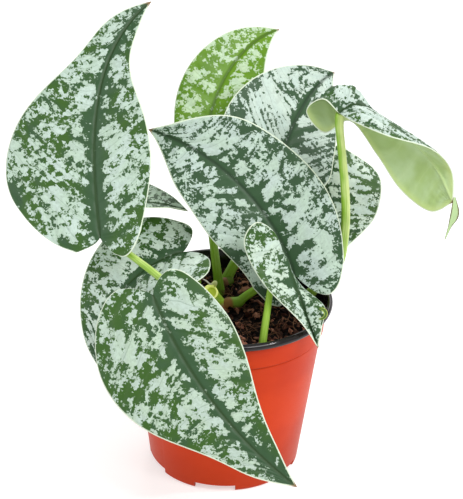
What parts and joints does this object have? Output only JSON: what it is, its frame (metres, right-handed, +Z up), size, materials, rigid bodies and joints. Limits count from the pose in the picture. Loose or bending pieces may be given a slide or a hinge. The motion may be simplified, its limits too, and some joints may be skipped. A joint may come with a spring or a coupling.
{
  "type": "potted_plant",
  "caption": "Satin pothos with broad silver-blotched heart-shaped leaves on green stems, growing from dark soil in a tapered orange-red nursery pot with a black lip.",
  "frame": {"origin": "Centre of the flat underside of the pot, where it meets the table.", "axes": "+Z up along the pot's axis, +X to the viewer's right in the picture, -Y towards the viewer."},
  "size_m": [0.2492, 0.2107, 0.2511],
  "materials": {
    "pot_plastic": "satin",
    "potting_soil": "matte",
    "stem_green": "satin",
    "leaf_silver": "satin",
    "leaf_lime": "satin",
    "leaf_pale": "satin"
  },
  "bodies": {
    "root": {"pot": "pot_plastic", "soil": "potting_soil", "vine_cut_end": "stem_green", "petiole_upper_left": "stem_green", "petiole_lower_left": "stem_green", "petiole_centre": "stem_green", "petiole_front_small": "stem_green", "petiole_top_lime": "stem_green", "petiole_top_silver": "stem_green", "petiole_right_folded": "stem_green", "petiole_right_lower": "stem_green", "petiole_left_middle": "stem_green", "petiole_left_small": "stem_green", "blade_upper_left": "leaf_silver", "blade_lower_left": "leaf_silver", "blade_centre": "leaf_silver", "blade_front_small": "leaf_silver", "blade_top_lime": "leaf_lime", "blade_top_silver": "leaf_silver", "blade_right_folded": "leaf_pale", "blade_right_lower": "leaf_silver", "blade_left_middle": "leaf_silver", "blade_left_small": "leaf_silver"}
  },
  "joints": []
}
